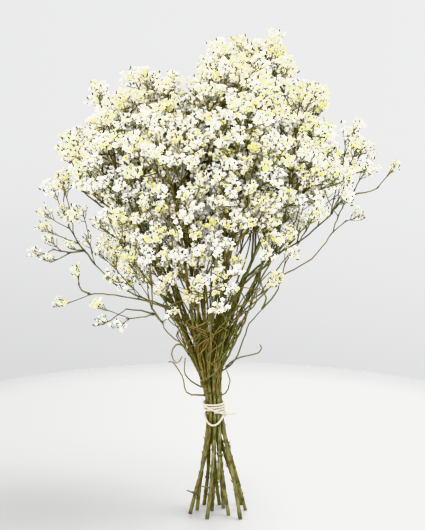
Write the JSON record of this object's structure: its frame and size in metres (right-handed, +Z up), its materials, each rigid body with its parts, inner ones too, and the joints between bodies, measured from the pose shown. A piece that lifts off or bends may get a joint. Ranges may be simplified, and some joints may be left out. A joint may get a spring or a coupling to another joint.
{
  "type": "tied bunch of dried statice",
  "caption": "Bunch of dried white and yellow statice, tied with cream twine and standing on its splayed cut stems.",
  "frame": {"origin": "on the table, straight below the middle of the tie, at the middle of the bunch's bounding box", "axes": "+Z up along the bunch, -Y towards the viewer of the picture, +X to that viewer's right"},
  "size_m": [0.3733, 0.3239, 0.4858],
  "materials": {
    "calyx": "matte",
    "corolla": "matte",
    "bract": "matte",
    "stalk": "matte",
    "twine": "matte"
  },
  "bodies": {
    "root": {"stem_01": "calyx", "stem_02": "calyx", "stem_03": "calyx", "stem_04": "calyx", "stem_05": "calyx", "stem_06": "calyx", "stem_07": "calyx", "stem_08": "calyx", "stem_09": "calyx", "stem_10": "calyx", "stem_11": "calyx", "stem_12": "calyx", "stem_13": "calyx", "twine_tie": "twine"}
  },
  "joints": []
}
